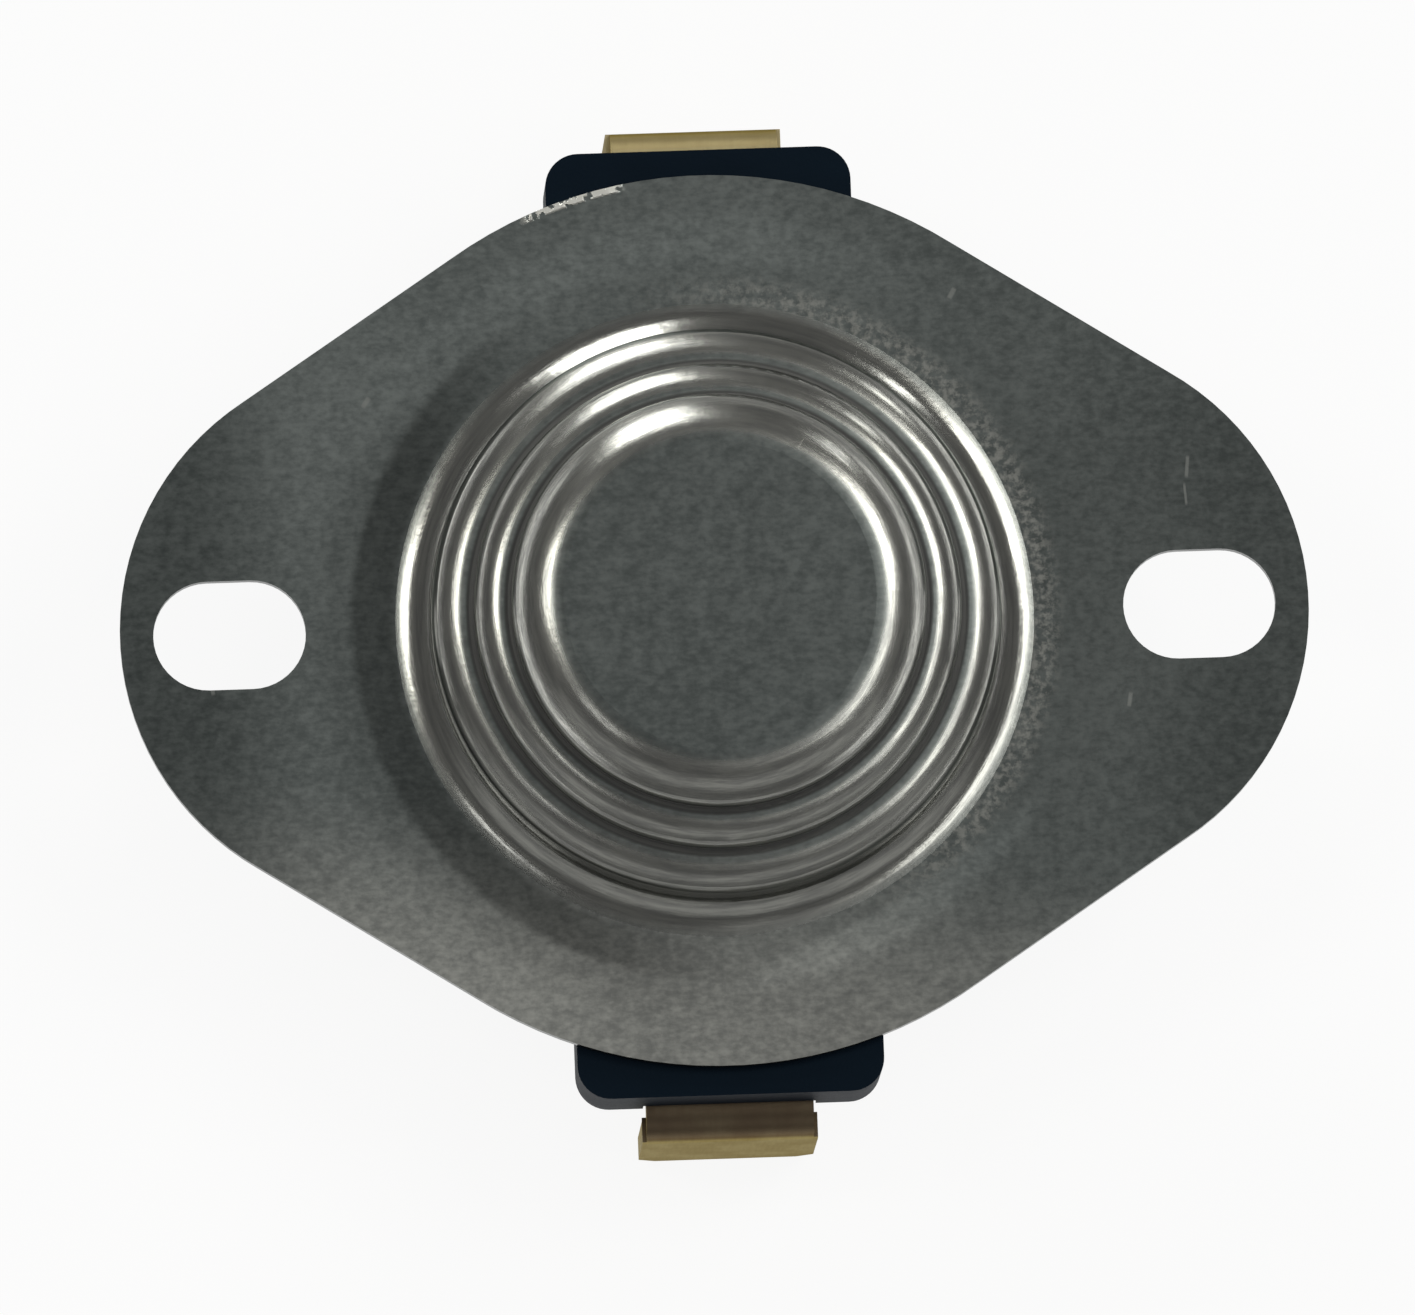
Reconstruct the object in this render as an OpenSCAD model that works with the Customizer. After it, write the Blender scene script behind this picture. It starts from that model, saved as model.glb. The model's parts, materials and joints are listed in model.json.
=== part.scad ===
// Snap-disc bimetal temperature switch on a two-slot mounting flange.
// The origin is on the switch axis, in the flange face that lies against the panel.
// +Z points to the sensing cup and +X runs through the two mounting slots.

/* [Flange] */
// Distance between the centres of the two slots
slot_spacing = 35; // [33:0.5:38]
// Length of each slot from end to end
slot_length = 5.5; // [4.5:0.1:6.5]
// Width of each slot
slot_width = 3.95; // [3:0.05:4.4]
// Radius of the arcs beside the cup
waist_r = 16.2; // [14.5:0.05:18]
// Radius of the arcs round the two ends
end_r = 9.95; // [8:0.05:11]
// Distance from the centre of each slot to the end of the flange
end_margin = 3.95; // [3.6:0.05:5]
// Thickness of the sheet that the flange and the cup are drawn from
sheet_t = 0.5; // [0.4:0.05:0.55]

/* [Bimetal disc] */
// Diameter of the disc
disc_d = 19.05; // [18:0.05:20]
// Thickness of the disc
disc_t = 0.2; // [0.1:0.05:0.3]
// Height of the disc's crown above its rim
disc_rise = 0.25; // [0.2:0.05:0.3]
// Play round the rim of the disc in the cup
disc_play = 0.225; // [0.15:0.025:0.3]
// Room above the rim of the disc, under the cup's first step
disc_float = 0.15; // [0.1:0.05:0.25]

/* [Stepped cup] */
// Distance from the cup's wall out to the flat of the flange
foot_run = 1.41; // [1.3:0.01:1.5]
// Radius of the fillet that leads up from the flange
foot_fillet = 1.9; // [1.75:0.05:2.1]
// Radius of its tighter end against the wall
foot_corner = 0.3; // [0.25:0.05:0.35]
// Rise of the first step
lower_h = 3.2; // [3:0.05:3.6]
// Width of the first shoulder
lower_run = 1.23; // [1.15:0.01:1.3]
// Radius of the first shoulder
lower_shoulder = 1.45; // [1.4:0.05:1.6]
// Rise of the second step
middle_h = 1.4; // [1.3:0.05:1.7]
// Width of the second shoulder
middle_run = 1.12; // [1.05:0.01:1.2]
// Radius of the second shoulder
middle_shoulder = 1.3; // [1.25:0.05:1.45]
// Fillet at the foot of the second step
middle_fillet = 0.2; // [0.15:0.05:0.25]
// Rise of the third step
upper_h = 1.9; // [1.8:0.05:2.2]
// Width of the shoulder round the flat top
upper_run = 1.85; // [1.75:0.01:1.95]
// Radius of the shoulder round the flat top
upper_shoulder = 2.2; // [2.1:0.05:2.4]
// Fillet at the foot of the third step
upper_fillet = 0.15; // [0.1:0.05:0.2]
// Radius that leads from each shoulder into its wall
corner_r = 0.65; // [0.6:0.05:0.7]
// Flat ring between a step's fillet and the next shoulder
tread = 0.05; // [0.03:0.01:0.1]

/* [Switch body] */
// Radius of the round body behind the flange
body_r = 12; // [11.5:0.1:14]
// Width of each ear
ear_w = 11.05; // [9:0.05:13]
// Distance from the axis to the end of each ear
ear_reach = 17.2; // [16.5:0.05:20]
// Radius of the ears' corners
ear_corner = 1.2; // [0.6:0.1:2]
// Wall of the mouth that the disc's rim sits on
mouth_wall = 1.2; // [1:0.05:1.5]
// Ledge round the mouth that carries the guide plate
guide_ledge = 0.4; // [0.3:0.05:0.6]
// Width of the contact chamber
chamber_w = 8.8; // [7:0.1:10]
// Thinnest floor between the chamber and a terminal
floor_t = 0.7; // [0.5:0.05:1]
// Play between pieces that slide into one another
fit_play = 0.1; // [0.06:0.02:0.14]

/* [Guide plate and pin] */
// Thickness of the guide plate
guide_t = 0.8; // [0.6:0.05:1.2]
// Room between the snapped disc and the guide plate
disc_room = 0.2; // [0.1:0.05:0.3]
// Wall of the bush round the pin
bush_wall = 0.65; // [0.5:0.05:0.8]
// Diameter of the transfer pin
pin_d = 2.8; // [2:0.1:3]
// Radial running clearance of the pin in its bush
pin_clearance = 0.05; // [0.03:0.01:0.08]
// Free gap at each end of the pin when the switch is cold
pin_gap = 0.05; // [0.03:0.01:0.08]
// Radius of the pin's domed ends
pin_dome = 2.4; // [1.8:0.1:4]

/* [Contacts] */
// Distance from the axis to each rivet
rivet_y = 6.3; // [6.2:0.05:6.6]
// Distance from the axis to the edge where the arm starts to bend
arm_lever = 4.5; // [4:0.1:4.6]
// Distance from the axis to the contacts
contact_y = 3.4; // [3.2:0.05:3.6]
// Diameter of each contact button
contact_d = 2.6; // [2:0.1:2.8]
// Thickness of each contact button
contact_t = 0.4; // [0.3:0.05:0.5]
// Diameter of a contact's stem
stem_d = 1.2; // [0.8:0.1:1.4]
// Thickness of a stem's clinched tail
tail_t = 0.15; // [0.1:0.05:0.2]
// Thickness of the spring arm
arm_t = 0.2; // [0.1:0.05:0.25]
// Width of the spring arm
arm_w = 3; // [2.8:0.1:3.2]
// Thickness of the fixed strap
strap_t = 0.5; // [0.4:0.05:0.7]
// Width of the fixed strap
strap_w = 3.2; // [2.8:0.1:3.4]
// Room under the arm when the switch is open
arm_room = 0.4; // [0.35:0.05:0.6]
// Room above the inner rivet heads
head_room = 0.1; // [0.06:0.02:0.2]

/* [Terminals and rivets] */
// Width of each terminal blade
tab_w = 6.35; // [4.8:0.05:7]
// How far the foot is set in from the blade on each side
neck_in = 0.15; // [0.05:0.05:0.4]
// How far below the body's back the blade has its full width
neck_drop = 0.1; // [0.05:0.05:0.25]
// Thickness of each terminal blade
tab_t = 0.8; // [0.5:0.05:1]
// Length of each blade below the body
tab_length = 6; // [5.5:0.1:9]
// Gap between the end of an ear and its blade
tab_gap = 0.45; // [0.3:0.05:0.8]
// Inside radius of the terminal's bend
bend_r = 0.4; // [0.3:0.05:0.8]
// Chamfer of the blade's tip
tip_chamfer = 0.6; // [0.3:0.05:1]
// Diameter of the rivets' shanks
shank_d = 2; // [1.6:0.1:2.2]
// Diameter of the rivets' heads in the chamber
inner_head_d = 3.2; // [2.8:0.1:3.2]
// Thickness of the rivets' heads in the chamber
inner_head_t = 0.5; // [0.3:0.05:0.6]
// Diameter of the rivets' heads on the terminals
outer_head_d = 4; // [3:0.1:4.4]
// Thickness of the rivets' heads on the terminals
outer_head_t = 0.7; // [0.5:0.05:1]

/* [Hidden] */
$fn = 96;
eps = 0.01;
far = 60;

// the flange's ends
end_x = slot_spacing / 2 + end_margin - end_r;

// radii of the cup, from the disc in to the flat top: each wall, and where the shoulder in it starts
lower_r = disc_d / 2 + disc_play + sheet_t;
lower_c = lower_r - lower_run;
middle_r = lower_c - tread - middle_fillet;
middle_c = middle_r - middle_run;
upper_r = middle_c - tread - upper_fillet;
foot_r = lower_r + foot_run;

// heights of the cup over the flange
middle_z = lower_h + middle_h;
top_z = middle_z + upper_h;

// the foot's two arcs, sunk a hair so that they cut the flange's faces cleanly
foot_sink = 0.005;
foot_z = foot_fillet - foot_sink;
foot_lean = asin((foot_run - foot_corner) / (foot_fillet - foot_corner));
corner_z = foot_z - (foot_fillet - foot_corner) * cos(foot_lean);

// the mouth of the body, which carries the disc and the guide plate
rim_z = lower_h - lower_shoulder
    + sqrt(pow(lower_shoulder - sheet_t, 2) - pow(disc_d / 2 - lower_c, 2));
disc_z = rim_z - disc_float - disc_t;
boss_r = lower_r - sheet_t - fit_play / 2;
mouth_r = boss_r - mouth_wall;
chamber_r = max(mouth_r - guide_ledge, rivet_y + strap_w / 2 + 2 * fit_play);
guide_z1 = disc_z - disc_rise - disc_room;
guide_z0 = guide_z1 - guide_t;

// the stack of contacts, from the guide plate down to the terminals
strap_z1 = guide_z0 - head_room - inner_head_t;
strap_z0 = strap_z1 - strap_t;
contact_z = strap_z0 - contact_t;
arm_z1 = contact_z - contact_t;
arm_z0 = arm_z1 - arm_t;
stroke = 2 * disc_rise - pin_gap;
swing = atan(stroke / arm_lever);
arm_end = contact_y + arm_w / 2;
floor_z = arm_z0 - (arm_end + arm_lever) * tan(swing) - arm_room;
seat_z = floor_z - floor_t;
back_z = seat_z - tab_t;

// the terminals
rivet_hole_r = shank_d / 2 + fit_play / 2;
foot_w = tab_w - 2 * neck_in;
foot_end = rivet_y - outer_head_d / 2 - fit_play;
tab_y = ear_reach + tab_gap + tab_t;
tip_z = back_z - tab_length;

// Quarter of a disc in the corner of a profile, towards +X and +Y
module quarter(r) {
    intersection() {
        circle(r);
        square(r);
    }
}

// Block from the axis out to r whose upper outer corner is rounded
module rounded_step(r, z0, z1, round_r) {
    difference() {
        translate([0, z0]) square([r, z1 - z0]);
        translate([r - round_r, z1 - round_r]) difference() {
            square(round_r + eps);
            circle(round_r);
        }
    }
}

// Hollow fillet between a wall at r and the shelf at z outside it
module step_fillet(r, z, fillet_r) {
    translate([r, z]) difference() {
        square(fillet_r);
        translate([fillet_r, fillet_r]) rotate(180) quarter(fillet_r);
    }
}

// Block from the axis out to r with a crowned top: an arc of the crown's radius over the given run, which
// passes into a tighter one against the wall
module crowned_step(r, run, z0, z1, crown, corner) {
    lean = asin((run - corner) / (crown - corner));
    bend_z = z1 - crown + (crown - corner) * cos(lean);
    translate([0, z0]) square([r - run, z1 - z0]);
    translate([0, z0]) square([r, bend_z - z0]);
    intersection() {
        translate([r - run, z1 - crown]) circle(crown);
        translate([0, z0]) square([r - run + crown * sin(lean), z1 - z0]);
    }
    translate([r - corner, bend_z]) circle(corner);
}

// Half section of the foot, moved in by the sheet's thickness for the inside
module foot_section(inset, z0) {
    fillet_r = foot_fillet + inset;
    difference() {
        translate([0, z0]) square([foot_r, corner_z - z0]);
        intersection() {
            translate([foot_r, foot_z]) circle(fillet_r);
            translate([foot_r - fillet_r * sin(foot_lean), z0]) square(far);
        }
        translate([lower_r + foot_corner, corner_z]) circle(foot_corner + inset);
    }
}

// Half section of the whole stepped cup
module cup_section(inset, z0) {
    foot_section(inset, z0);
    crowned_step(lower_r - inset, lower_run - inset, z0, lower_h - inset,
        lower_shoulder - inset, corner_r - inset);
    crowned_step(middle_r - inset, middle_run - inset, z0, middle_z - inset,
        middle_shoulder - inset, corner_r - inset);
    crowned_step(upper_r - inset, upper_run - inset, z0, top_z - inset,
        upper_shoulder - inset, corner_r - inset);
    step_fillet(middle_r - inset, lower_h - inset, middle_fillet + inset);
    step_fillet(upper_r - inset, middle_z - inset, upper_fillet + inset);
}

// Rectangle round the origin with rounded corners
module rounded_rect(w, l, r) {
    square([w - 2 * r, l], center = true);
    for (side = [-1, 1])
        translate([side * (w - r) / 2, 0]) square([r, l - 2 * r], center = true);
    for (turn = [0, 1]) mirror([turn, 0])
        for (flip = [0, 1]) mirror([0, flip])
            translate([w / 2 - r, l / 2 - r]) quarter(r);
}

// Strip along Y between two round ends
module stadium(y0, y1, r) {
    translate([-r, y0]) square([2 * r, y1 - y0]);
    translate([0, y1]) half_round(r);
    translate([0, y0]) rotate(180) half_round(r);
}

// Half of a disc, towards +Y
module half_round(r) {
    intersection() {
        circle(r);
        translate([-r, 0]) square([2 * r, r]);
    }
}

// Lozenge with round ends and bulging sides, joined by lines tangent to both arcs
module lozenge() {
    lap = 0.003; // keeps the straight sides just inside the arcs that they touch
    slope = acos((waist_r - end_r) / end_x);
    side = (waist_r - lap) * [cos(slope), sin(slope)];
    tip = [end_x, 0] + (end_r - lap) * [cos(slope), sin(slope)];
    polygon([
        [side.x, side.y], [-side.x, side.y], [-tip.x, tip.y], [-tip.x, -tip.y],
        [-side.x, -side.y], [side.x, -side.y], [tip.x, -tip.y], [tip.x, tip.y]
    ]);
    circle(waist_r);
    for (turn = [0, 180]) rotate(turn) translate([end_x, 0]) circle(end_r);
}

module flanged_cup() {
    color("dimgray") difference() {
        union() {
            translate([0, 0, -sheet_t]) linear_extrude(sheet_t) lozenge();
            rotate_extrude() cup_section(0, -sheet_t / 2);
        }
        rotate_extrude() cup_section(sheet_t, -sheet_t - eps);
        for (side = [-1, 1])
            translate([side * slot_spacing / 2, 0, -sheet_t - eps])
                linear_extrude(sheet_t + 2 * eps) rotate(90)
                    stadium(-(slot_length - slot_width) / 2, (slot_length - slot_width) / 2, slot_width / 2);
    }
}

// Space for the arm, the strap and the swing of the moving contact
module chamber() {
    module well(y0, y1, z0) {
        translate([0, 0, z0]) linear_extrude(guide_z0 - z0 + eps) intersection() {
            circle(chamber_r);
            translate([-chamber_w / 2, y0]) square([chamber_w, y1 - y0]);
        }
    }
    well(-arm_lever, arm_end + 3 * fit_play, floor_z);
    well(-chamber_r, -arm_lever + eps, arm_z0);
    well(arm_end + 3 * fit_play - eps, chamber_r, strap_z0);
}

module switch_body() {
    color([0.06, 0.07, 0.1]) difference() {
        union() {
            translate([0, 0, back_z]) cylinder(r = body_r, h = -sheet_t - back_z);
            translate([0, 0, back_z]) linear_extrude(-sheet_t - back_z)
                rounded_rect(ear_w, 2 * ear_reach, ear_corner);
            translate([0, 0, back_z]) cylinder(r = boss_r, h = disc_z - back_z);
        }
        translate([0, 0, guide_z0]) cylinder(r = mouth_r, h = disc_z - guide_z0 + eps);
        chamber();
        for (turn = [0, 180]) rotate(turn) {
            translate([0, rivet_y, back_z]) cylinder(r = rivet_hole_r, h = -back_z);
            translate([-foot_w / 2 - fit_play, foot_end - fit_play, back_z - eps])
                cube([foot_w + 2 * fit_play, far, tab_t + eps]);
        }
    }
}

// Underside of the dished disc, as a height over its rim
function dish(r) = disc_rise * (1 - pow(2 * r / disc_d, 2));

module bimetal_disc() {
    rings = 8;
    step = disc_d / 2 / rings;
    color("darkkhaki") translate([0, 0, disc_z]) rotate_extrude() polygon(concat(
        [for (i = [0 : rings]) [i * step, dish(i * step)]],
        [for (i = [rings : -1 : 0]) [i * step, dish(i * step) + disc_t]]
    ));
}

module guide_plate() {
    bore_r = pin_d / 2 + pin_clearance;
    color("saddlebrown") difference() {
        union() {
            translate([0, 0, guide_z0]) cylinder(r = mouth_r - fit_play / 2, h = guide_t);
            translate([0, 0, strap_z1 + head_room])
                cylinder(r = bore_r + bush_wall, h = guide_z1 - strap_z1 - head_room);
        }
        translate([0, 0, strap_z1]) cylinder(r = bore_r, h = guide_z1 - strap_z1 + eps);
    }
}

module transfer_pin() {
    z0 = arm_z1 + pin_gap;
    z1 = disc_z + disc_rise - pin_gap;
    color("ivory") intersection() {
        translate([0, 0, z0]) cylinder(d = pin_d, h = z1 - z0);
        translate([0, 0, z0 + pin_dome]) sphere(pin_dome);
        translate([0, 0, z1 - pin_dome]) sphere(pin_dome);
    }
}

module contact_arm() {
    color("peru") translate([0, 0, arm_z0]) linear_extrude(arm_t) difference() {
        stadium(-rivet_y, contact_y, arm_w / 2);
        translate([0, -rivet_y]) circle(rivet_hole_r);
        translate([0, contact_y]) circle(stem_d / 2 + fit_play / 2);
    }
}

module contact_strap() {
    color("goldenrod") translate([0, 0, strap_z0]) linear_extrude(strap_t) difference() {
        stadium(contact_y, rivet_y, strap_w / 2);
        translate([0, rivet_y]) circle(rivet_hole_r);
        translate([0, contact_y]) circle(stem_d / 2 + fit_play / 2);
    }
}

// Contact button on a carrier of the given thickness, face up at z = 0
module contact_button(carrier_t) {
    tail_d = (stem_d + contact_d) / 2;
    translate([0, 0, -contact_t]) cylinder(d = contact_d, h = contact_t);
    translate([0, 0, -contact_t - carrier_t - tail_t]) cylinder(d = stem_d, h = carrier_t + tail_t + eps);
    translate([0, 0, -contact_t - carrier_t - tail_t]) cylinder(d = tail_d, h = tail_t);
}

module moving_contact() {
    color("silver") translate([0, contact_y, contact_z]) contact_button(arm_t);
}

module fixed_contact() {
    color("silver") translate([0, contact_y, contact_z]) rotate([180, 0, 0]) contact_button(strap_t);
}

// Side view of a terminal: foot on the back of the body, bend, and blade
module terminal_profile() {
    difference() {
        rounded_step(tab_y, tip_z, back_z + tab_t, bend_r + tab_t);
        rounded_step(tab_y - tab_t, tip_z - eps, back_z, bend_r);
        translate([-eps, back_z - eps]) square([foot_end + eps, tab_t + 2 * eps]);
    }
}

// Terminal on the +Y ear
module terminal() {
    difference() {
        rotate([90, 0, 90]) linear_extrude(tab_w, center = true) terminal_profile();
        translate([0, rivet_y, back_z - eps]) cylinder(r = rivet_hole_r, h = tab_t + 2 * eps);
        for (turn = [0, 1]) mirror([turn, 0, 0]) {
            translate([tab_w / 2, tab_y - tab_t / 2, tip_z]) rotate([0, 45, 0])
                cube([tip_chamfer * sqrt(2), tab_t + 2 * eps, tip_chamfer * sqrt(2)], center = true);
            translate([foot_w / 2, 0, back_z - neck_drop])
                cube([neck_in + eps, far, neck_drop + tab_t + eps]);
        }
    }
}

module load_terminal() {
    color([0.62, 0.55, 0.33]) terminal();
}

module line_terminal() {
    color([0.62, 0.55, 0.33]) rotate(180) terminal();
}

// Rivet from the back of a terminal up to the top of the piece that it clamps
module rivet(z1) {
    translate([0, 0, back_z]) cylinder(d = shank_d, h = z1 - back_z + eps);
    translate([0, 0, z1]) cylinder(d = inner_head_d, h = inner_head_t);
    translate([0, 0, back_z - outer_head_t])
        cylinder(d1 = (shank_d + outer_head_d) / 2, d2 = outer_head_d, h = outer_head_t);
}

module load_rivet() {
    color("darkgoldenrod") translate([0, rivet_y, 0]) rivet(strap_z1);
}

module line_rivet() {
    color("darkgoldenrod") translate([0, -rivet_y, 0]) rivet(arm_z1);
}

flanged_cup();
switch_body();
bimetal_disc();
guide_plate();
transfer_pin();
contact_arm();
moving_contact();
contact_strap();
fixed_contact();
line_terminal();
load_terminal();
line_rivet();
load_rivet();
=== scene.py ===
import json
import math

import bmesh
import bpy
from mathutils import Matrix, Vector


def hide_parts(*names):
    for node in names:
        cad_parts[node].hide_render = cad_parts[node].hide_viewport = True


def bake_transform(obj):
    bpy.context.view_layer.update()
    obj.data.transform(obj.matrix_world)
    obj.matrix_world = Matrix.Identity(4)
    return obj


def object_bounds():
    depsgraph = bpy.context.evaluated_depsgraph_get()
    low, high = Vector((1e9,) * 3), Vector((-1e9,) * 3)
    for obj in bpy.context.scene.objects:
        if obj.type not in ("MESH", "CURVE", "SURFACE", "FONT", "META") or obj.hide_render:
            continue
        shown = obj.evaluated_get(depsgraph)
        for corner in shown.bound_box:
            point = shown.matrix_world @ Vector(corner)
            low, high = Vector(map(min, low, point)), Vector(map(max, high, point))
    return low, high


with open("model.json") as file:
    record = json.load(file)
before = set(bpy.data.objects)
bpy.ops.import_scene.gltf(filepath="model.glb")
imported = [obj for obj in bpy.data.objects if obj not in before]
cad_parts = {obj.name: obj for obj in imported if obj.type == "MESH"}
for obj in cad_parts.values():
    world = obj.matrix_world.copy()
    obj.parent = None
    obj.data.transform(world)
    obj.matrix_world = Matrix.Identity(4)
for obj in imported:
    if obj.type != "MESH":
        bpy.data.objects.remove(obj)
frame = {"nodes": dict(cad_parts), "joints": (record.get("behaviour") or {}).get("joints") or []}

cad_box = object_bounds()

# Switch body: the black base that carries every other piece, with an ear on each side for a terminal.
# It is a glass-filled phenolic, pressed in a heated mould, so its faces are satin with faint flow
# marks and its edges are slightly rounded. Its boss fits up into the cup and carries the disc.


class Shade:
    """A socket of a material's nodes. Maths on it adds Math nodes, and add() makes any other node."""

    def __init__(self, tree, socket=None):
        self.tree = tree
        self.socket = socket

    def add(self, kind, settings=None, inputs=None, out=0):
        made = self.tree.nodes.new("ShaderNode" + kind)
        for key, value in (settings or {}).items():
            setattr(made, key, value)
        for key, value in (inputs or {}).items():
            if isinstance(value, Shade):
                self.tree.links.new(value.socket, made.inputs[key])
            else:
                made.inputs[key].default_value = value
        return Shade(self.tree, made.outputs[out])

    def maths(self, operation, first, second):
        return self.add("Math", {"operation": operation}, {0: first, 1: second})

    def __add__(self, other):
        return self.maths("ADD", self, other)

    def __radd__(self, other):
        return self.maths("ADD", other, self)

    def __sub__(self, other):
        return self.maths("SUBTRACT", self, other)

    def __rsub__(self, other):
        return self.maths("SUBTRACT", other, self)

    def __mul__(self, other):
        return self.maths("MULTIPLY", self, other)

    def __rmul__(self, other):
        return self.maths("MULTIPLY", other, self)


def scaled(shade, vector, factor):
    return shade.add("VectorMath", {"operation": "SCALE"}, {0: vector, "Scale": factor})


def millimetres(shade):
    """Place on the piece, in millimetres."""
    return scaled(shade, shade.add("TexCoord", out="Object"), 1000.0)


def stretched(shade, place, factors):
    return shade.add("VectorMath", {"operation": "MULTIPLY"}, {0: place, 1: factors})


def grain(shade, place, per_mm, detail=2.0, rough=0.5):
    """Noise from 0 to 1 whose cells are 1 / per_mm millimetres wide."""
    return shade.add(
        "TexNoise", None, {"Vector": place, "Scale": per_mm, "Detail": detail, "Roughness": rough}
    )


def tint(shade, amount, first, second):
    """Colour that goes from first to second with amount."""
    return shade.add("Mix", {"data_type": "RGBA"}, {0: amount, 6: first, 7: second}, out=2)


def rgb(red, green, blue):
    return (red, green, blue, 1.0)


def new_finish(name):
    """A material, its Principled shader, and a Shade to start its nodes from."""
    material = bpy.data.materials.new(name)
    material.use_nodes = True
    tree = material.node_tree
    return material, tree.nodes["Principled BSDF"], Shade(tree)


def feed(shader, **values):
    """Links what varies over the surface, and sets what doesn't on the shader's own socket."""
    for key, value in values.items():
        socket = shader.inputs[key.replace("_", " ").title().replace("Ior", "IOR")]
        if isinstance(value, Shade):
            value.tree.links.new(value.socket, socket)
        else:
            socket.default_value = value


def relief(shade, height, depth_mm, strength=1.0):
    """Bump of the given depth."""
    return shade.add(
        "Bump", None, {"Height": height, "Distance": depth_mm / 1000.0, "Strength": strength}
    )


def dress(node, material, edge_mm, segments=2, sharp_deg=35):
    """Puts a finish on a CAD piece and rounds its sharp edges."""
    piece = frame["nodes"][node]
    piece.data.materials.clear()
    piece.data.materials.append(material)
    for face in piece.data.polygons:
        face.material_index = 0
    if edge_mm:
        edge = piece.modifiers.new("broken_edges", "BEVEL")
        edge.width = edge_mm / 1000.0
        edge.segments = segments
        edge.limit_method = "ANGLE"
        edge.angle_limit = math.radians(sharp_deg)
        edge.harden_normals = True


body_edge_mm = 0.28
phenolic_dark = rgb(0.0014, 0.0058, 0.0120)
phenolic_light = rgb(0.0030, 0.0095, 0.0180)
phenolic, shader, shade = new_finish("phenolic")
place = millimetres(shade)
flow = grain(shade, stretched(shade, place, (0.35, 1.0, 1.0)), 0.7, 4.0)
speckle = grain(shade, place, 9.0, 2.0)
feed(
    shader,
    base_color=tint(shade, flow, phenolic_dark, phenolic_light),
    specular_ior_level=0.05,
    roughness=0.42 + 0.10 * flow + 0.10 * speckle,
    normal=relief(shade, speckle + 0.6 * flow, 0.02, 0.6),
)
dress("switch_body", phenolic, body_edge_mm, segments=3)

# Terminals: two brass strips, each lying in a channel in the back of the body and bent down over the
# end of its ear into a push-on blade. They are stamped from rolled strip. The near one is coloured darker
# brown on its upward faces, and the far one olive on all but its level faces.


def axis_of(shade, vector, axis):
    return shade.add("SeparateXYZ", None, {0: vector}, out=axis)


def facing_up(shade):
    """1 on a level face that looks up, 0 on an upright one."""
    return axis_of(shade, shade.add("TexCoord", out="Normal"), "Z")


def step_up(shade, value, low, high):
    """0 below low, 1 above high and smooth between."""
    return shade.add(
        "MapRange",
        {"interpolation_type": "SMOOTHSTEP"},
        {"Value": value, "From Min": low, "From Max": high},
    )


terminal_edge_mm = 0.08
ear_mm = (8.0, 14.0)
brass_bright = rgb(0.60, 0.52, 0.30)
brass_dull = rgb(0.47, 0.39, 0.21)
brass_grain = rgb(0.26, 0.20, 0.11)
brass_olive = rgb(0.28, 0.225, 0.105)
brass_brown = rgb(0.120, 0.085, 0.060)
brass_sheen = rgb(0.34, 0.30, 0.20)
brass, shader, shade = new_finish("terminal_brass")
place = millimetres(shade)
along = axis_of(shade, place, "Y")
facing = facing_up(shade)
rolled = grain(shade, stretched(shade, place, (5.0, 0.5, 0.5)), 1.6, 3.0)
tarnish = grain(shade, place, 0.55, 4.0, 0.6)
speckle = grain(shade, place, 14.0, 2.0)
brown_top = step_up(shade, -1.0 * along, *ear_mm) * step_up(shade, facing, 0.12, 0.40)
olive = step_up(shade, along, *ear_mm) * (1.0 - step_up(shade, facing, 0.90, 0.995))
dulled = tint(shade, step_up(shade, tarnish, 0.35, 0.65), brass_bright, brass_dull)
dulled = tint(shade, 0.45 * rolled, dulled, brass_grain)
dulled = tint(shade, 0.8 * olive, dulled, brass_olive)
feed(
    shader,
    base_color=tint(shade, (0.75 + 0.25 * tarnish) * brown_top, dulled, brass_brown),
    metallic=1.0,
    specular_tint=brass_sheen,
    roughness=0.28 + 0.12 * rolled + 0.10 * speckle,
    normal=relief(shade, rolled + 0.5 * speckle, 0.008, 0.5),
)
for terminal in ("line_terminal", "load_terminal"):
    dress(terminal, brass, terminal_edge_mm)

# Rivets: solid brass, one through each terminal and the body. The heads on the back are cold formed,
# which leaves them slightly uneven, and they hold the arm and the strap in the chamber.
rivet_edge_mm = 0.12
rivet_light = rgb(0.50, 0.40, 0.22)
rivet_dark = rgb(0.34, 0.25, 0.13)
rivet_brass, shader, shade = new_finish("rivet_brass")
place = millimetres(shade)
dull = grain(shade, place, 1.4, 4.0)
speckle = grain(shade, place, 16.0, 2.0)
feed(
    shader,
    base_color=tint(shade, dull, rivet_light, rivet_dark),
    metallic=1.0,
    roughness=0.24 + 0.16 * dull,
    normal=relief(shade, dull + 0.4 * speckle, 0.012, 0.6),
)
for rivet in ("line_rivet", "load_rivet"):
    dress(rivet, rivet_brass, rivet_edge_mm)
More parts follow.
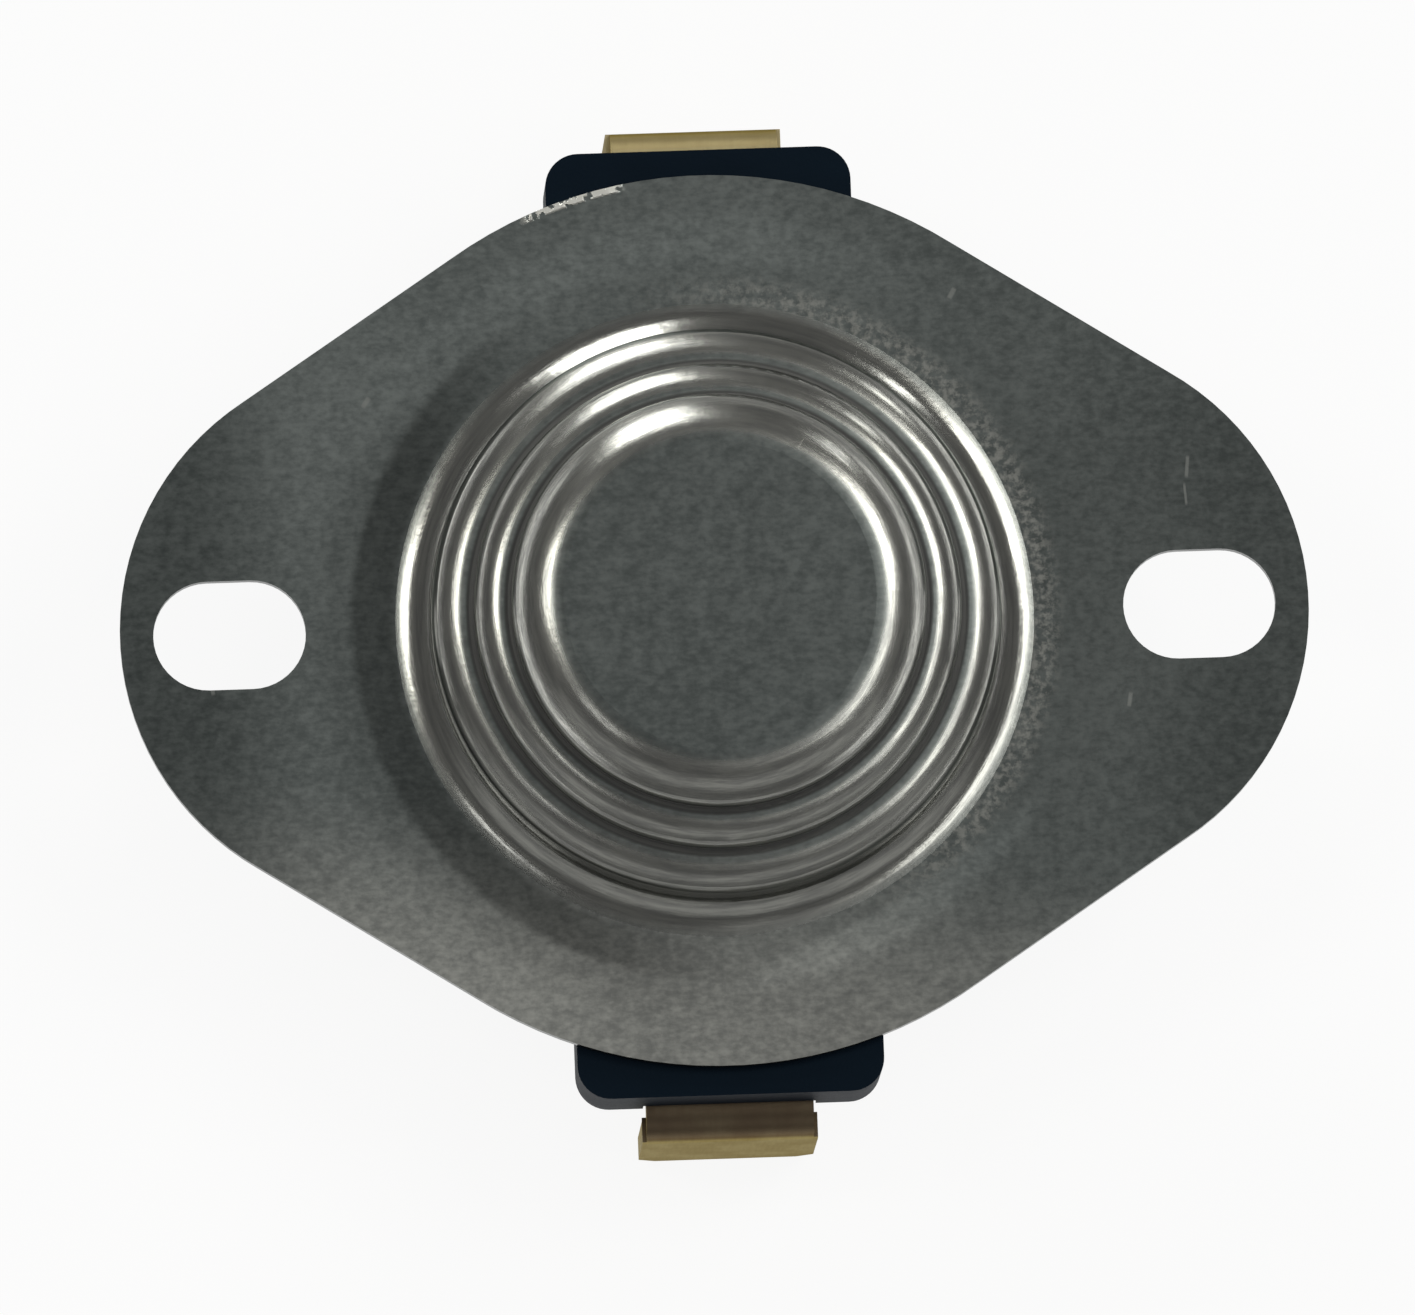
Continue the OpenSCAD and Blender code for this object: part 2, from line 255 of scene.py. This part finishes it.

# Contact arm and strap: a springy phosphor bronze leaf and a stiff brass strip in the chamber, blanked
# from rolled strip, so their grain runs along them. The arm is clamped under its rivet's head and bends
# just past it, so a leaf with the CAD arm's own shape stands for it, cut across in rows where it bends.
arm_edge_mm = 0.03
strap_edge_mm = 0.06
bronze_light = rgb(0.62, 0.37, 0.21)
bronze_dark = rgb(0.50, 0.28, 0.15)
bronze, shader, shade = new_finish("spring_bronze")
place = millimetres(shade)
rolled = grain(shade, stretched(shade, place, (6.0, 0.4, 1.0)), 2.0, 3.0)
feed(
    shader,
    base_color=tint(shade, rolled, bronze_light, bronze_dark),
    metallic=1.0,
    roughness=0.22 + 0.12 * rolled,
    normal=relief(shade, rolled, 0.004, 0.5),
)
dress("contact_arm", bronze, arm_edge_mm)
dress("contact_strap", brass, strap_edge_mm)

bend_length_m = 0.001
bend_rows = 8
weld_m = 1e-6
arm_hinge = next(joint for joint in frame["joints"] if joint["name"] == "arm_flex")
bend_from_m = arm_hinge["pos_m"][1]
bend_to_m = bend_from_m + bend_length_m
cut_leaf = bmesh.new()
cut_leaf.from_mesh(frame["nodes"]["contact_arm"].data)
bmesh.ops.remove_doubles(cut_leaf, verts=cut_leaf.verts, dist=weld_m)
for row in range(bend_rows + 1):
    row_m = bend_from_m + bend_length_m * row / bend_rows
    whole = cut_leaf.verts[:] + cut_leaf.edges[:] + cut_leaf.faces[:]
    bmesh.ops.bisect_plane(cut_leaf, geom=whole, plane_co=(0.0, row_m, 0.0), plane_no=(0.0, 1.0, 0.0))
for face in cut_leaf.faces:
    face.smooth = False
    face.material_index = 0
leaf_mesh = bpy.data.meshes.new("contact_leaf")
cut_leaf.to_mesh(leaf_mesh)
cut_leaf.free()
leaf_mesh.materials.append(bronze)
leaf = bpy.data.objects.new("contact_leaf", leaf_mesh)
bpy.context.scene.collection.objects.link(leaf)
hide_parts("contact_arm")
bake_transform(leaf)

# Contacts: silver buttons, clinched into the arm and the strap. Their faces meet when the switch is
# cold, and are lightly pitted by the sparks of switching.
contact_edge_mm = 0.06
silver_bright = rgb(0.80, 0.79, 0.75)
silver_pitted = rgb(0.42, 0.40, 0.37)
silver, shader, shade = new_finish("contact_silver")
place = millimetres(shade)
pits = step_up(shade, grain(shade, place, 7.0, 3.0), 0.52, 0.70)
feed(
    shader,
    base_color=tint(shade, pits, silver_bright, silver_pitted),
    metallic=1.0,
    roughness=0.20 + 0.30 * pits,
    normal=relief(shade, 1.0 - pits, 0.02, 0.6),
)
for contact in ("moving_contact", "fixed_contact"):
    dress(contact, silver, contact_edge_mm)

# Guide plate: a brown moulded disc under the bimetal, with a bush that guides the transfer pin.
# It drops onto a ledge in the body's mouth.
plate_edge_mm = 0.08
plate_dark = rgb(0.17, 0.080, 0.040)
plate_light = rgb(0.24, 0.120, 0.062)
guide, shader, shade = new_finish("guide_moulding")
place = millimetres(shade)
flow = grain(shade, place, 0.9, 4.0)
feed(
    shader,
    base_color=tint(shade, flow, plate_dark, plate_light),
    roughness=0.42 + 0.14 * flow,
    normal=relief(shade, flow, 0.02, 0.4),
)
dress("guide_plate", guide, plate_edge_mm)

# Transfer pin: a short ceramic rod with domed ends, which passes the disc's snap on to the arm.
# It is pressed and fired, and left unglazed.
no_edge_mm = 0.0
ceramic_light = rgb(0.82, 0.79, 0.72)
ceramic_dark = rgb(0.72, 0.68, 0.60)
ceramic, shader, shade = new_finish("pin_ceramic")
place = millimetres(shade)
speckle = grain(shade, place, 6.0, 3.0)
feed(
    shader,
    base_color=tint(shade, speckle, ceramic_light, ceramic_dark),
    roughness=0.55 + 0.15 * speckle,
    normal=relief(shade, speckle, 0.015, 0.4),
)
dress("transfer_pin", ceramic, no_edge_mm)

# Bimetal disc: two rolled metals bonded back to back and dished in a press. It sits in the cup with a
# little play and snaps through when it is hot.
disc_edge_mm = 0.03
bimetal_light = rgb(0.52, 0.50, 0.44)
bimetal_dark = rgb(0.42, 0.39, 0.33)
bimetal, shader, shade = new_finish("bimetal")
place = millimetres(shade)
rolled = grain(shade, stretched(shade, place, (0.4, 5.0, 1.0)), 1.2, 4.0)
feed(
    shader,
    base_color=tint(shade, rolled, bimetal_light, bimetal_dark),
    metallic=1.0,
    roughness=0.26 + 0.12 * rolled,
    normal=relief(shade, rolled, 0.004, 0.5),
)
dress("bimetal_disc", bimetal, disc_edge_mm)

# Flanged cup: flange and stepped cup, drawn from one piece of dull grey metal sheet, then blanked with its
# slots, so the blank's rim is rolled over; the rim is painted dark as painted shade. The die has burnished
# the bends. Round the foot the flange has a painted shadow of the cup on one side and is rubbed on the
# other, and handling has left a few scratches.


def length_of(shade, vector):
    return shade.add("VectorMath", {"operation": "LENGTH"}, {0: vector}, out=1)


cup_edge_mm = 0.3
steps_end_mm = (10.2, 10.5)
foot_ends_mm = (11.3, 11.8)
flange_starts_mm = (11.9, 12.6)
sheet, shader, shade = new_finish("cup_sheet")
place = millimetres(shade)
across, along, height = [axis_of(shade, place, axis) for axis in "XYZ"]
facing = facing_up(shade)
radius = length_of(shade, stretched(shade, place, (1.0, 1.0, 0.0)))


def ring(rise_mm, fall_mm):
    """1 between two radii round the cup, each given as the pair between which it fades."""
    return step_up(shade, radius, *rise_mm) * (1.0 - step_up(shade, radius, *fall_mm))


on_flange = step_up(shade, radius, *flange_starts_mm)
bend = (1.0 - step_up(shade, facing, 0.970, 0.998)) * (1.0 - on_flange)
rim = (1.0 - step_up(shade, facing, 0.80, 0.995)) * on_flange
cloud = grain(shade, place, 0.10, 3.0, 0.5)
mottle = grain(shade, place, 1.8, 5.0, 0.6)
fine = grain(shade, stretched(shade, place, (0.6, 1.0, 1.0)), 5.5, 3.0)
tone = step_up(shade, 0.25 * cloud + 0.40 * mottle + 0.35 * fine, 0.34, 0.66)

# Painted light and shade: the flange's grey is painted darkest at its two ends and lightest along its near
# edge.
sheet_dark = rgb(0.108, 0.121, 0.117)
sheet_light = rgb(0.186, 0.204, 0.196)
ends_dark = rgb(0.058, 0.067, 0.065)
ends_light = rgb(0.115, 0.128, 0.124)
near_dark = rgb(0.224, 0.229, 0.216)
near_light = rgb(0.385, 0.388, 0.360)
ends_mm2 = (190.0, 360.0)
right_end_mm = (8.0, 14.0)
near_edge_mm = (7.0, 15.0)
ends = step_up(shade, across * across, *ends_mm2)
ends = ends * (1.0 - 0.45 * step_up(shade, across, *right_end_mm))
near_edge = step_up(shade, -0.15 * across - along, *near_edge_mm) * (1.0 - 0.7 * ends)
dull = tint(shade, tone, sheet_dark, sheet_light)
dull = tint(shade, 0.75 * ends, dull, tint(shade, tone, ends_dark, ends_light))
dull = tint(shade, near_edge, dull, tint(shade, tone, near_dark, near_light))

# Round the foot lie a pale ring on the far side and a pale streak on the near side, and on the left
# a painted shadow of the cup.
halo_mm = ((12.7, 13.3), (14.2, 15.2))
streak_mm = ((11.9, 12.3), (13.0, 13.8))
shadow_core_mm = (12.85, 13.35)
shadow_fringe_mm = (13.4, 15.2)
to_left = -0.94 * across - 0.34 * along
halo = ring(*halo_mm) * step_up(shade, along - 0.3 * across, 8.0, 13.0)
streak = ring(*streak_mm) * step_up(shade, 0.50 * across - 0.87 * along, 11.3, 12.4)
# Painted shadow: the cup's shadow painted on the flange to its left.
shadow_core = 1.0 - step_up(shade, radius, *shadow_core_mm)
shadow_fringe = 1.0 - step_up(shade, radius, *shadow_fringe_mm)
cup_shadow = 0.38 * shadow_core + 0.18 * shadow_fringe
cup_shadow = cup_shadow * step_up(shade, -0.97 * across - 0.26 * along, 2.0, 9.0)
# Painted light and shade: the flange is painted lighter to the left and on the far side, darker to the
# right.
lighter = 0.26 * step_up(shade, to_left, 0.0, 14.0) * (1.0 - ends) + 0.20 * halo + 0.35 * streak
lighter = lighter + 0.14 * step_up(shade, along, 4.0, 12.0)
darker = 0.18 * (1.0 - step_up(shade, to_left, -14.0, -2.0))
painted_light_and_marks = 1.0 + step_up(shade, radius, *foot_ends_mm) * (lighter - darker - 1.25 * cup_shadow)
dull = scaled(shade, dull, painted_light_and_marks)


def nick(x, y, length, width, lean_deg):
    """A short scratch on the flange, in millimetres from its centre."""
    lean = math.radians(lean_deg)
    from_nick = shade.add("VectorMath", {"operation": "SUBTRACT"}, {0: place, 1: (x, y, 0.0)})
    ways = [(math.cos(lean), math.sin(lean), 0.0), (-math.sin(lean), math.cos(lean), 0.0)]
    run, off = [
        shade.add("VectorMath", {"operation": "DOT_PRODUCT"}, {0: from_nick, 1: way}, out=1) for way in ways
    ]
    along_it = 1.0 - step_up(shade, run * run, (0.3 * length) ** 2, (0.5 * length) ** 2)
    return along_it * (1.0 - step_up(shade, off * off, (0.1 * width) ** 2, (0.6 * width) ** 2))


scratched = rgb(0.34, 0.35, 0.33)
nicks = (
    nick(17.25, 5.0, 0.9, 0.14, 84)
    + nick(17.15, 4.0, 0.9, 0.10, 94)
    + nick(14.86, -3.4, 0.6, 0.16, 80)
    + nick(-12.3, 8.3, 0.5, 0.2, 55)
    + nick(9.0, 11.6, 0.5, 0.2, 60)
    + nick(-18.2, -1.9, 0.6, 0.16, 100)
)
dull = tint(shade, 0.55 * nicks, dull, scratched)
rubbed_bright = rgb(0.42, 0.42, 0.385)
rubbed_mm = ((11.3, 11.6), (11.9, 12.8))
rubbed = (
    ring(*rubbed_mm)
    * step_up(shade, 0.95 * across + 0.31 * along, 0.0, 7.0)
    * step_up(shade, grain(shade, place, 3.2, 4.0, 0.65), 0.42, 0.64)
)
dull = tint(shade, 0.60 * rubbed * (1.0 - bend), dull, rubbed_bright)


def valley(r, z, reach):
    """Painted shade in the valley at the foot of a step, in millimetres."""
    out = radius - r
    over = height - z
    return 1.0 - step_up(shade, out * out + over * over, (0.4 * reach) ** 2, reach ** 2)


# The bends are burnished in streaks that run round the cup, and the two upper valleys are painted dark as
# painted shade.
burnished_dark = rgb(0.300, 0.302, 0.283)
burnished_light = rgb(0.430, 0.432, 0.396)
rim_painted_shade = rgb(0.035, 0.037, 0.036)
valley_shade_dark = rgb(0.048, 0.048, 0.046)
valley_shade = valley(r=7.54, z=4.66, reach=0.23) + valley(r=8.87, z=3.28, reach=0.25)
turn = shade.maths("ARCTAN2", 0.50 * along - 0.87 * across, -0.50 * across - 0.87 * along)
round_cup = shade.add("CombineXYZ", None, {"X": 4.5 * turn, "Y": 5.0 * radius, "Z": 5.0 * height})
buffed = step_up(shade, grain(shade, round_cup, 1.0, 4.0, 0.6), 0.34, 0.66)
burnished = tint(shade, buffed, burnished_dark, burnished_light)
crown = bend * (1.0 - step_up(shade, radius, *steps_end_mm))
# Painted shade: the rolled rim is painted dark.
metal = tint(shade, 0.8 * rim, tint(shade, bend, dull, burnished), rim_painted_shade)

# Painted glint: a few bright dots on the far rim, painted where its rolled edge catches a highlight.
glint_bright = rgb(0.90, 0.89, 0.82)
glint_x_mm = -4.6
glint_reach_mm2 = (1.5, 4.0)
far_rim_mm = (15.88, 16.0)
far_side_mm = (13.0, 14.0)
from_glint = across - glint_x_mm
painted_glint = (
    step_up(shade, radius, *far_rim_mm)
    * step_up(shade, along, *far_side_mm)
    * (1.0 - step_up(shade, from_glint * from_glint, *glint_reach_mm2))
    * step_up(shade, grain(shade, place, 3.4, 1.0), 0.42, 0.52)
)
metal = tint(shade, painted_glint, metal, glint_bright)
skin_mm = 0.05 * cloud + 0.004 * mottle + 0.002 * fine + 0.0016 * bend * buffed + 0.05 * painted_glint
feed(
    shader,
    base_color=tint(shade, 0.9 * valley_shade, metal, valley_shade_dark),
    metallic=1.0 - 0.8 * valley_shade,
    roughness=0.27 + 0.06 * mottle - (0.11 + 0.04 * buffed) * bend + 0.07 * crown + 0.40 * valley_shade,
    normal=relief(shade, skin_mm, 1.0),
)
dress("flanged_cup", sheet, cup_edge_mm, segments=4, sharp_deg=60)

# The bench: pale grey, with a round white card under the blades, and soft daylight from both sides and
# the far left. Overhead and on the near side the room is darker, which is why the flat metal looks dark.
bench_size_m = 6.0
card_r_m = 0.040
card_fade_m = 0.0004
card_white = rgb(1.0, 1.0, 1.0)
bench_grey = rgb(0.42, 0.42, 0.42)
shown_share = 0.90
bpy.ops.mesh.primitive_plane_add(size=bench_size_m, location=(0.0, 0.0, cad_box[0].z))
table = bpy.context.object
table.name = "table"
card_on_bench, shader, shade = new_finish("card_on_bench")
from_part = length_of(shade, shade.add("TexCoord", out="Object"))
past_card = step_up(shade, from_part, card_r_m - card_fade_m, card_r_m + card_fade_m)
paper = tint(shade, past_card, card_white, bench_grey)
feed(shader, base_color=paper, roughness=0.9)
seen = (
    shade.add("LightPath", out="Is Camera Ray")
    + shade.add("LightPath", out="Is Glossy Ray")
    + shade.add("LightPath", out="Is Transmission Ray")
)
glow = shade.add("Emission", None, {"Color": paper, "Strength": 1.0})
plain = Shade(shade.tree, shader.outputs["BSDF"])
mixed = shade.add("MixShader", None, {0: shown_share * seen, 1: plain, 2: glow})
shade.tree.links.new(mixed.socket, shade.tree.nodes["Material Output"].inputs["Surface"])
table.data.materials.append(card_on_bench)

room_level = 0.14
overhead_level = 0.240
horizon_level = 2.40
low_near_level = 0.28
world = bpy.data.worlds.new("room")
world.use_nodes = True
bpy.context.scene.world = world
tree = world.node_tree
shade = Shade(tree)
look = shade.add("TexCoord", out="Generated")
aim_x, aim_y, aim_z = [axis_of(shade, look, axis) for axis in "XYZ"]
overhead = step_up(shade, aim_x + 0.15 * aim_y, -0.10, 0.05) * step_up(shade, aim_z, 0.80, 0.93)
beside = step_up(shade, aim_x * aim_x, 0.25, 0.60)
near = step_up(shade, -1.0 * aim_y, 0.20, 0.55)
horizon = beside * (1.0 - step_up(shade, aim_z, 0.05, 0.14))
low_near = near * step_up(shade, aim_z, 0.24, 0.40) * (1.0 - step_up(shade, aim_z, 0.58, 0.76))
level = room_level + overhead_level * overhead + horizon_level * horizon + low_near_level * low_near
backdrop = tree.nodes["Background"]
tree.links.new(level.socket, backdrop.inputs["Strength"])
backdrop.inputs["Color"].default_value = rgb(1.0, 1.0, 1.0)

lamp_reach_m = 1.2


def soft_lamp(name, azimuth, elevation, width, height, radiance, colour):
    """Area lamp that faces the switch, in degrees and metres. Azimuth runs from +X towards +Y."""
    data = bpy.data.lights.new(name, "AREA")
    data.shape = "RECTANGLE"
    data.size = width
    data.size_y = height
    data.energy = radiance * math.pi * width * height
    data.color = colour
    lamp = bpy.data.objects.new(name, data)
    bpy.context.scene.collection.objects.link(lamp)
    turned, raised = math.radians(azimuth), math.radians(elevation)
    outward = Vector(
        (math.cos(turned) * math.cos(raised), math.sin(turned) * math.cos(raised), math.sin(raised))
    )
    lamp.location = outward * lamp_reach_m
    lamp.rotation_euler = outward.to_track_quat("Z", "Y").to_euler()
    lamp.visible_camera = False


soft_lamp("window_left", 158, 60, 0.25, 0.32, 7.0, (1.0, 0.99, 0.94))
soft_lamp("gap_left", 213, 66, 0.14, 0.14, 2.5, (1.0, 1.0, 1.0))
soft_lamp("window_right", 31, 55, 0.40, 0.40, 6.2, (1.0, 0.99, 0.95))
soft_lamp("window_near_right", -12, 61, 0.55, 0.30, 2.6, (1.0, 1.0, 0.98))
soft_lamp("window_far", 105, 20, 0.38, 0.75, 6.0, (1.0, 1.0, 0.98))
soft_lamp("gap_far", 53, 22, 0.12, 0.30, 5.0, (1.0, 1.0, 0.98))

# Camera: held nearly straight above the cup, leaning a little to the near side and turned slightly,
# as the photograph was taken. The flange's centre is placed at its pixel in the photograph.
image_px = (1415.0, 1315.0)
flange_px = (714.8, 619.4)
px_per_mm = 27.74
tilt_deg = 7.5
side_deg = 2.0
roll_deg = 2.15
reach_mm = 900.0
sensor_mm = 36.0
clip_m = (0.05, 10.0)
tilt, side, roll = (math.radians(angle) for angle in (tilt_deg, side_deg, roll_deg))
plain_right = Vector((math.cos(side), 0.0, math.sin(side)))
back = Vector((-math.sin(side) * math.cos(tilt), -math.sin(tilt), math.cos(side) * math.cos(tilt)))
plain_up = back.cross(plain_right)
right = plain_right * math.cos(roll) - plain_up * math.sin(roll)
up = plain_right * math.sin(roll) + plain_up * math.cos(roll)
off_mm = [(image_px[i] / 2.0 - flange_px[i]) / px_per_mm for i in (0, 1)]
aim = right * off_mm[0] - up * off_mm[1]
spot = (aim + back * reach_mm) / 1000.0
lens = bpy.data.cameras.new("camera")
lens.sensor_width = sensor_mm
lens.lens = sensor_mm * reach_mm * px_per_mm / image_px[0]
lens.clip_start, lens.clip_end = clip_m
camera = bpy.data.objects.new("camera", lens)
bpy.context.scene.collection.objects.link(camera)
camera.matrix_world = Matrix(
    [[right[i], up[i], back[i], spot[i]] for i in range(3)] + [[0.0, 0.0, 0.0, 1.0]]
)
bpy.context.scene.camera = camera
bpy.context.scene.view_settings.view_transform = "Standard"
